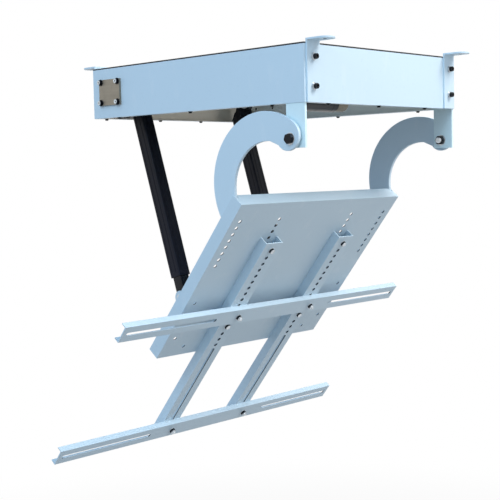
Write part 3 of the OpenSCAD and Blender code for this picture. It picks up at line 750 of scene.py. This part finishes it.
class Group(Tree):
    """A new geometry node group with named inputs, which ends in plain painted geometry."""

    def __init__(self, name, **inputs):
        super().__init__(bpy.data.node_groups.new(name, "GeometryNodeTree"))
        face = self.tree.interface
        for label, kind in inputs.items():
            face.new_socket(label.replace("_", " "), in_out="INPUT",
                            socket_type="NodeSocket" + kind)
        face.new_socket("Result", in_out="OUTPUT", socket_type="NodeSocketGeometry")
        self.given = self.tree.nodes.new("NodeGroupInput")

    def input(self, name):
        return Value(self, self.given.outputs[name])

    def chance(self, least, most):
        """A number drawn for each point from the group's seed."""
        return self.node("FunctionNodeRandomValue", {"data_type": "FLOAT"},
                         {2: least, 3: most, "Seed": self.input("Seed")}, 1)

    def along(self, vector):
        """The rotation that turns Z to a vector."""
        return self.node("FunctionNodeAlignRotationToVector", {"axis": "Z"}, {"Vector": vector})

    def finish(self, points, instance, **placing):
        """Puts the instance on the points, and makes and paints the plain result."""
        place = self.node("GeometryNodeInstanceOnPoints",
                          inputs={"Points": points, "Instance": instance, **placing})
        plain = self.node("GeometryNodeRealizeInstances", inputs={0: place})
        painted = self.node("GeometryNodeSetMaterial",
                            inputs={"Geometry": plain, "Material": self.input("Finish")})
        self.node("NodeGroupOutput", inputs={0: painted})
        return self.tree


def placing_group(label):
    """Geometry nodes that put a template on each point, turned to its outward direction."""
    group = Group(label, Points="Geometry", Template="Object", Finish="Material",
                  Most_turn="Float", Seed="Int")
    template = group.node("GeometryNodeObjectInfo", inputs={"Object": group.input("Template")},
                          output="Geometry")
    outward = group.node("GeometryNodeInputNamedAttribute", {"data_type": "FLOAT_VECTOR"},
                         {"Name": "outward"}, "Attribute")
    about = group.node("FunctionNodeAxisAngleToRotation",
                       inputs={"Angle": group.chance(0.0, group.input("Most turn"))})
    spin = group.node("FunctionNodeRotateRotation", {"rotation_space": "LOCAL"},
                      {0: group.along(outward), 1: about})
    return group.finish(group.input("Points"), template, Rotation=spin)


def bead_group(label):
    """Geometry nodes that lay overlapping weld ripples along a line."""
    group = Group(label, Line="Geometry", Radius="Float", Step="Float", Finish="Material",
                  Seed="Int")
    curve = group.node("GeometryNodeMeshToCurve", inputs={0: group.input("Line")})
    points = group.node("GeometryNodeResampleCurve", {"mode": "LENGTH"},
                        {"Curve": curve, "Length": group.input("Step")})
    ripple = group.node("GeometryNodeMeshUVSphere",
                        inputs={"Segments": 14, "Rings": 8, "Radius": group.input("Radius")})
    smooth = group.node("GeometryNodeSetShadeSmooth", inputs={0: ripple})
    tangent = group.node("GeometryNodeInputTangent")
    return group.finish(points, smooth, Rotation=group.along(tangent),
                        Scale=group.chance(0.90, 1.08))


def grown(name, raw, label, make_group, values):
    """The plain result of a geometry node group on an object, given values for its named inputs."""
    modifier = raw.modifiers.new(label, "NODES")
    modifier.node_group = bpy.data.node_groups.get(label) or make_group(label)
    for item in modifier.node_group.interface.items_tree:
        if item.in_out == "INPUT" and item.name in values:
            modifier[item.identifier] = values[item.name]
    return evaluated_copy(name, raw)


def placed(name, points, template, material, turn):
    """Fasteners on (point, outward) pairs, as one plain mesh object."""
    data = bpy.data.meshes.new(name)
    data.from_pydata([p for p, _ in points], [], [])
    outward = data.attributes.new("outward", "FLOAT_VECTOR", "POINT")
    for item, (_, direction) in zip(outward.data, points):
        item.vector = direction
    raw = new_object(name + "_raw", data)
    model = bpy.data.objects.new(name + "_model", template)
    piece = grown(name, raw, "Place fasteners", placing_group,
                  {"Template": model, "Finish": material, "Most turn": turn,
                   "Seed": bpy.context.scene.lift_fasteners.seed})
    bpy.data.objects.remove(model)
    return piece


def stand_in(node, points, template, finish, turn=WHOLE_TURN):
    """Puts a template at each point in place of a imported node, each turned by chance."""
    piece = placed(node + "_finished", points, template, finishes()[finish], turn)
    settle(piece, BODY_OF[node], replaced=node)


def add_to_housing(name, points, template, finish):
    """Puts a template at each point of the housing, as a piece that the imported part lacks."""
    settle(placed(name, points, template, finishes()[finish], 0.0), HOUSING)


def from_middle(axis, sign=1):
    """The way along an axis that leads out from the lift's middle, or back to it with sign -1."""
    axis = Vector(axis)
    return lambda centre: axis * math.copysign(1, centre.dot(axis)) * sign


def seats(node, direction_at, stack):
    """For each solid of a node, the point where its head's seat is and which way it points.

    direction_at gives that way from a solid's centre; stack is how far the head's outer end
    stands off the seat."""
    found = []
    for solid in islands(node):
        low = Vector(min(p[i] for p in solid) for i in range(3))
        high = Vector(max(p[i] for p in solid) for i in range(3))
        direction = direction_at((low + high) / 2)
        reach = max(p.dot(direction) for p in solid)
        middle = sum(solid, Vector()) / len(solid)
        foot = middle - direction * middle.dot(direction)
        found.append((foot + direction * (reach - stack), direction))
    return sorted(found, key=lambda pair: tuple(round(c, 4) for c in pair[0]))


def lifted(points, height):
    """The seats moved outwards by a height."""
    return [(point + direction * height, direction) for point, direction in points]


def outermost(points):
    """The seats that stand as far out as any, which leaves out the loose washers."""
    furthest = max(point.dot(direction) for point, direction in points)
    return [pair for pair in points if furthest - pair[0].dot(pair[1]) < MM]


class LIFT_OT_housing(Operator):
    """Rounds and finishes the housing panels and lays the rim seal"""

    bl_idname = "lift.housing"
    bl_label = "Housing"

    def execute(self, context):
        edges = context.scene.lift_edges
        for node in ("side_panel_left", "side_panel_right", "front_panel", "rear_panel"):
            dress(node, edges.sheet, fold=edges.fold)
        dress("top_plate", edges.sheet * 0.5, "top_coat")
        dress("power_clamps", edges.machined)
        rim_seal(finishes()["seal"])
        return {"FINISHED"}


def rim_seal(material):
    """Sponge strip on the upper edges of the housing panels."""
    width, height, inset = 5.0 * MM, 3.4 * MM, 0.2 * MM
    foot_in, foot_up, soft = 0.6 * MM, 0.5 * MM, 0.8 * MM
    low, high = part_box("side_panel_left")[0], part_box("side_panel_right")[1]
    base = high[2]
    mesh = bmesh.new()
    rings = []
    for grow, z in ((inset + foot_in, 0.0), (inset, foot_up), (inset, height - soft),
                    (inset + soft, height), (width - soft, height), (width, height - soft),
                    (width, 0.0)):
        x0, x1, y0, y1 = low[0] + grow, high[0] - grow, low[1] + grow, high[1] - grow
        corners = (x0, y0), (x1, y0), (x1, y1), (x0, y1)
        rings.append([mesh.verts.new((x, y, base + z)) for x, y in corners])
    join_rings(mesh, rings, True)
    bmesh.ops.recalc_face_normals(mesh, faces=mesh.faces)
    settle(new_object("rim_seal", mesh_data("rim_seal", mesh)), HOUSING, material)


class LIFT_OT_brackets(Operator):
    """Rounds and finishes the ceiling brackets"""

    bl_idname = "lift.brackets"
    bl_label = "Ceiling brackets"

    def execute(self, context):
        for end in ("front", "rear"):
            for side in SIDES:
                dress("ceiling_bracket_%s_%s" % (end, side), context.scene.lift_edges.arm)
        return {"FINISHED"}


class LIFT_OT_pivots(Operator):
    """Finishes the lugs and makes the pivot bolts with their nuts and washers"""

    bl_idname = "lift.pivots"
    bl_label = "Flip pivots"

    def execute(self, context):
        edges = context.scene.lift_edges
        for side in SIDES:
            dress("pivot_lug_" + side, edges.arm, "lug_coat")
            dress("pivot_spacer_" + side, edges.machined)
            pivot_bolt(side)
        points = seats("pivot_nuts", from_middle((1, 0, 0), -1), PIVOT_NUT)
        rings = [(PIVOT_R, PIVOT_WASHER),
                 *hex_rings(PIVOT_ACROSS, PIVOT_WASHER, PIVOT_NUT - PIVOT_WASHER),
                 (PIVOT_R + 1.5 * MM, PIVOT_NUT), (PIVOT_R, PIVOT_NUT - 1 * MM)]
        stand_in("pivot_nuts", points, turned(rings, bored=True), "black_screws", PIVOT_TURN)
        add_to_housing("pivot_nut_washers", points, pivot_washer(), "zinc")
        return {"FINISHED"}


def pivot_washer():
    return washer_mesh(PIVOT_R, (PIVOT_WASHER_R, PIVOT_WASHER))


def pivot_bolt(side):
    """A black head on a bright washer, and a bright shank with its thread at the nut's end."""
    node = "pivot_bolt_" + side
    low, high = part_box(node)
    sign = -1 if side == "left" else 1
    pivot = Vector(JOINTS["flip"]["pos_m"])
    top = PIVOT_WASHER + PIVOT_HEAD
    end = high[0] - low[0] - top
    outer = low[0] if sign < 0 else high[0]
    seat = [(Vector((outer - sign * top, pivot.y, pivot.z)), Vector((sign, 0, 0)))]
    rings = [(PIVOT_R, 0.5 * PIVOT_WASHER), *hex_rings(PIVOT_ACROSS, PIVOT_WASHER, PIVOT_HEAD),
             (7.6 * MM, top), (7.0 * MM, top - 0.5 * MM)]
    stand_in(node, seat, turned(rings), "black_screws", PIVOT_TURN)
    rings = [(0.8 * PIVOT_R, -end),
             *thread(PIVOT_R, PIVOT_PITCH, 0.6 * MM - end, PIVOT_THREAD - end),
             (PIVOT_R, PIVOT_THREAD + 0.5 * MM - end), (PIVOT_R, 0.6 * PIVOT_WASHER)]
    add_to_housing("pivot_shank_" + side, seat, turned(rings), "zinc")
    add_to_housing("pivot_washer_" + side, seat, pivot_washer(), "zinc")


class LIFT_OT_rear_shaft(Operator):
    """Finishes the bearing plates, the cross shaft and its collars"""

    bl_idname = "lift.rear_shaft"
    bl_label = "Rear shaft"

    def execute(self, context):
        for node in ("bearing_plate_left", "bearing_plate_right", "rear_shaft", "shaft_collars"):
            dress(node, context.scene.lift_edges.machined)
        return {"FINISHED"}


class LIFT_OT_electrics(Operator):
    """Makes the power unit and finishes the control box"""

    bl_idname = "lift.electrics"
    bl_label = "Electrics"

    def execute(self, context):
        dress("control_box", 2.0 * MM, segments=3)
        low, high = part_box("power_unit")
        radius = (high[1] - low[1]) / 2
        tail_end = Vector((low[0], (low[1] + high[1]) / 2, (low[2] + high[2]) / 2))
        seat = [(tail_end, Vector((1, 0, 0)))]
        stand_in("power_unit", seat, turned(shell_rings(radius), 64), "power_case", 0.0)
        nose = turned(nose_rings(radius, high[0] - low[0]), 64)
        add_to_housing("power_unit_nose", seat, nose, "bare_steel")
        return {"FINISHED"}


def shell_rings(radius):
    """The power unit's tail and its shell with a groove near each end."""
    end, lip = UNIT_TAIL + UNIT_SHELL, 1.2 * MM
    rings = [(UNIT_TAIL_R - 2 * MM, 0.0), (UNIT_TAIL_R, 1 * MM), (UNIT_TAIL_R, UNIT_TAIL - 1 * MM),
             (UNIT_TAIL_R + 3 * MM, UNIT_TAIL), (radius - lip, UNIT_TAIL),
             (radius, UNIT_TAIL + lip)]
    for groove in (0.16, 0.86):
        z = UNIT_TAIL + UNIT_SHELL * groove
        rings += [(radius, z), (radius - 0.7 * MM, z + 0.4 * MM), (radius - 0.7 * MM, z + 1.2 * MM),
                  (radius, z + 1.6 * MM)]
    return rings + [(radius, end - lip), (radius - lip, end), (radius - 5 * MM, end)]


def nose_rings(radius, length):
    """The power unit's finned gear nose and its spindle."""
    start, rim, root, step = UNIT_TAIL + UNIT_SHELL, radius - 2 * MM, radius - 3.2 * MM, 4.4 * MM
    rings = [(radius - 3 * MM, start), (rim, start + 0.8 * MM)]
    for i in range(UNIT_FINS):
        z = start + 2 * MM + i * step
        rings += [(rim, z), (root, z + 0.9 * MM), (root, z + 2.0 * MM), (rim, z + 2.9 * MM)]
    end = start + UNIT_NOSE
    return rings + [(rim - 0.6 * MM, end), (UNIT_SPINDLE_R + 0.4 * MM, end),
                    (UNIT_SPINDLE_R, end + 0.6 * MM), (UNIT_SPINDLE_R, length - 0.8 * MM),
                    (UNIT_SPINDLE_R - 0.8 * MM, length)]


class LIFT_OT_arms(Operator):
    """Rounds the hook arms and lays the weld beads along their legs"""

    bl_idname = "lift.arms"
    bl_label = "Hook arms"

    def execute(self, context):
        for side in SIDES:
            dress("hook_arm_" + side, context.scene.lift_edges.arm, segments=3)
            weld_beads(side, context.scene.lift_fasteners)
        return {"FINISHED"}


def weld_beads(side, sizes):
    """Stitches of bead in the corner between an arm's leg and the screen plate's side."""
    node = "hook_arm_" + side
    low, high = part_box(node)
    x = low[0] if side == "left" else high[0]
    plate_start, _, _, plate_back = plate_box("screen_plate")
    leg_end, level = plate_box(node)[1], plate_back - 2.0 * MM
    stitch, gap, first, margin = 30.0 * MM, 14.0 * MM, 22.0 * MM, 5.0 * MM
    points, lines = [], []
    along = plate_start + first
    while along + stitch / 2 < leg_end - margin + 1 * MM:
        end = min(along + stitch, leg_end - margin)
        lines.append((len(points), len(points) + 1))
        points += [plate_point(x, along, level), plate_point(x, end, level)]
        along = end + gap
    data = bpy.data.meshes.new("bead_line")
    data.from_pydata(points, lines, [])
    raw = new_object("bead_raw", data)
    piece = grown("weld_bead_" + side, raw, "Weld bead", bead_group,
                  {"Radius": sizes.bead, "Step": sizes.bead * 0.62,
                   "Finish": finishes()["plate_coat"], "Seed": sizes.seed})
    settle(piece, BODY_OF[node])


class LIFT_OT_screen_plate(Operator):
    """Rounds the screen plate and the drive brackets on its back"""

    bl_idname = "lift.screen_plate"
    bl_label = "Screen plate"

    def execute(self, context):
        edges = context.scene.lift_edges
        dress("screen_plate", edges.sheet, segments=3, fold=edges.fold)
        for side in SIDES:
            dress("drive_bracket_" + side, edges.arm)
            dress("drive_pin_" + side, edges.machined)
        return {"FINISHED"}


class LIFT_OT_profiles(Operator):
    """Rounds the upright channels and the cross rails"""

    bl_idname = "lift.profiles"
    bl_label = "Channels and rails"

    def execute(self, context):
        edges = context.scene.lift_edges
        for node in ("channel_left", "channel_right", "rail_upper", "rail_lower"):
            # The channels' whole slots get painted shade.
            dress(node, edges.profile, segments=3, fold=edges.fold,
                  painted_shade_slots=node.startswith("channel"))
        return {"FINISHED"}


class LIFT_OT_drives(Operator):
    """Finishes the drive tubes, their heads, eyes, motors and lead screws"""

    bl_idname = "lift.drives"
    bl_label = "Drive tubes"

    def execute(self, context):
        edges = context.scene.lift_edges
        fine, coarse = edges.machined * 0.6, edges.arm
        parts = {"outer_tube": fine, "tube_collar": fine, "inner_tube": fine, "drive_nut": fine,
                 "drive_motor": fine, "lead_screw": fine, "gear_head": coarse, "rod_eye": coarse}
        for side in SIDES:
            for part, radius in parts.items():
                dress("%s_%s" % (part, side), radius)
        return {"FINISHED"}


class LIFT_OT_fasteners(Operator):
    """Puts detailed screws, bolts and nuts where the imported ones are"""

    bl_idname = "lift.fasteners"
    bl_label = "Fasteners"

    def execute(self, context):
        sizes = context.scene.lift_fasteners
        housing_fasteners(sizes, sizes.washer_depth)
        plate_fasteners(sizes, sizes.washer_depth)
        return {"FINISHED"}


def housing_fasteners(sizes, washer):
    """Screws, nuts and washers of the brackets, the bearing plates and the bottom lips."""
    lift = washer + SPRING_WASHER
    points = seats("bracket_bolts", from_middle((0, 1, 0)), lift + BRACKET_SCREW["height"])
    pair = washer_mesh(BRACKET_BORE, (BRACKET_WASHER_R, washer), (SPRING_WASHER_R, SPRING_WASHER))
    add_to_housing("bracket_washers", points, pair, "zinc")
    screw = cap_screw_mesh(**BRACKET_SCREW)
    stand_in("bracket_bolts", lifted(points, lift), screw, "black_screws")
    points = seats("bracket_nuts", from_middle((0, 1, 0), -1), sizes.nut)
    stand_in("bracket_nuts", points, nut_mesh(sizes), "zinc")

    points = seats("bearing_screws", from_middle((1, 0, 0)), washer + BEARING_SCREW["height"])
    ring = washer_mesh(BEARING_BORE, (sizes.washer, washer))
    add_to_housing("bearing_washers", points, ring, "black_screws")
    screw = cap_screw_mesh(**BEARING_SCREW)
    stand_in("bearing_screws", lifted(points, washer), screw, "black_screws")

    points = seats("lip_screws", lambda centre: Vector((0, 0, -1)), LIP_HEAD)
    stand_in("lip_screws", points, flange_screw_mesh(**LIP_SCREW), "black_screws")


def plate_fasteners(sizes, washer):
    """Bolts and nuts of the channels and rails, on the plate's face and back."""
    behind = plate_axes()[1]
    to_front, to_back = (lambda centre: -behind), (lambda centre: behind)
    for node, depth, way in (("channel_bolts", washer, to_front), ("rail_bolts", 0.0, to_back)):
        stack = sizes.head + depth
        spread = [p.dot(behind) for p in islands(node)[0]]
        bolt = bolt_mesh(sizes, max(spread) - min(spread) - stack, depth)
        stand_in(node, seats(node, way, stack), bolt, "zinc")
    stand_in("channel_nuts", seats("channel_nuts", to_back, sizes.nut), nut_mesh(sizes), "zinc")
    points = outermost(seats("rail_nuts", to_front, sizes.nut + washer))
    stand_in("rail_nuts", points, nut_mesh(sizes, washer), "zinc")


class LIFT_OT_stage(Operator):
    """Lays the floor, sets the lamps and the sky, and places the camera"""

    bl_idname = "lift.stage"
    bl_label = "Stage"

    def execute(self, context):
        stage = context.scene.lift_stage
        pale_floor(stage)
        surrounding_light(stage, context.scene)
        for name, (place, size, colour) in LAMPS.items():
            lamp(name, place, getattr(stage, name.lower()), size, colour)
        camera(stage, context.scene)
        context.scene.view_settings.view_transform = "Standard"
        return {"FINISHED"}


def pale_floor(stage):
    """A wide pale floor below the lift that the camera sees as white, shadow and all."""
    half = 9.0
    z = CAD_LOW[2] - stage.floor_drop
    data = bpy.data.meshes.new("floor")
    corners = (-half, -half, z), (half, -half, z), (half, half, z), (-half, half, z)
    data.from_pydata(corners, [], [(0, 1, 2, 3)])
    finish = Finish("Pale floor", Roughness=0.9, Specular_IOR_Level=0.0)
    finish.set("Base Color", finish.mix(finish.noise(1.2, 3.0) * 0.2, *FLOOR_TONES))
    glow = finish.node("ShaderNodeEmission", inputs={"Color": WHITE, "Strength": 1.0})
    x, y, _ = finish.split(finish.place)
    near_share, far_share = 0.90, 1.0
    share = near_share + (far_share - near_share) * (x * x + y * y).above(4.0, 3.0)
    finish.surface(finish.seen_as(share, finish.principled(), glow))
    data.materials.append(finish.material)
    new_object("floor", data)


def surrounding_light(stage, scene):
    """Soft light all round, bluer from above and from the left, that is seen as plain white."""
    scene.world = bpy.data.worlds.new("Studio")
    studio = Shading(scene.world)
    x, _, up = studio.split(studio.node("ShaderNodeTexCoord", output="Generated"))
    level = studio.mix((x * -1.0).above(0.25, 0.6), SKY["right"], SKY["left"])
    colour = studio.mix(up.above(0.30, 0.35), level, SKY["above"])
    light = studio.node("ShaderNodeBackground", inputs={"Color": colour, "Strength": stage.sky})
    white = studio.node("ShaderNodeBackground", inputs={"Color": WHITE})
    studio.node("ShaderNodeOutputWorld", inputs={"Surface": studio.seen_as(None, light, white)})


def lamp(name, place, power, size, colour):
    """A square area lamp that points at the middle of the lift."""
    data = bpy.data.lights.new(name, "AREA")
    data.energy, data.size, data.color = power, size, colour
    light = new_object(name, data)
    light.location = Vector(place)
    middle = (Vector(CAD_LOW) + Vector(CAD_HIGH)) / 2
    light.rotation_mode = "QUATERNION"
    light.rotation_quaternion = (middle - light.location).to_track_quat("-Z", "Y")


def camera(stage, scene):
    """The photograph's viewpoint."""
    az, el = stage.azimuth, stage.elevation
    back = Vector((math.sin(az) * math.cos(el), -math.cos(az) * math.cos(el), math.sin(el)))
    data = bpy.data.cameras.new("Viewpoint")
    data.lens = stage.lens
    data.clip_end = 60.0
    eye = new_object("Viewpoint", data)
    eye.location = stage.eye
    eye.rotation_mode = "QUATERNION"
    eye.rotation_quaternion = (-back).to_track_quat("-Z", "Y") @ Quaternion((0, 0, 1), stage.roll)
    scene.camera = eye


STEPS = (LIFT_OT_housing, LIFT_OT_brackets, LIFT_OT_pivots, LIFT_OT_rear_shaft, LIFT_OT_electrics,
         LIFT_OT_arms, LIFT_OT_screen_plate, LIFT_OT_profiles, LIFT_OT_drives, LIFT_OT_fasteners,
         LIFT_OT_stage)
GROUPS = {"lift_edges": EdgeSizes, "lift_tones": FinishTones, "lift_fasteners": FastenerSizes,
          "lift_stage": StageSizes}


class LIFT_PT_panel(Panel):
    """Sizes, finishes and the steps that dress the lift"""

    bl_label = "Ceiling Lift"
    bl_space_type = "VIEW_3D"
    bl_region_type = "UI"
    bl_category = "Ceiling Lift"

    def draw(self, context):
        for name in GROUPS:
            group = getattr(context.scene, name)
            box = self.layout.box()
            for size in group.__annotations__:
                box.prop(group, size)
        for step in STEPS:
            self.layout.operator(step.bl_idname)


CLASSES = (*GROUPS.values(), *STEPS, LIFT_PT_panel)


def register():
    for cls in CLASSES:
        bpy.utils.register_class(cls)
    for name, group in GROUPS.items():
        setattr(bpy.types.Scene, name, PointerProperty(type=group))


def unregister():
    for name in GROUPS:
        delattr(bpy.types.Scene, name)
    for cls in reversed(CLASSES):
        bpy.utils.unregister_class(cls)


def main():
    register()
    for step in STEPS:
        group, action = step.bl_idname.split(".")
        getattr(getattr(bpy.ops, group), action)()


if __name__ == "__main__":
    main()
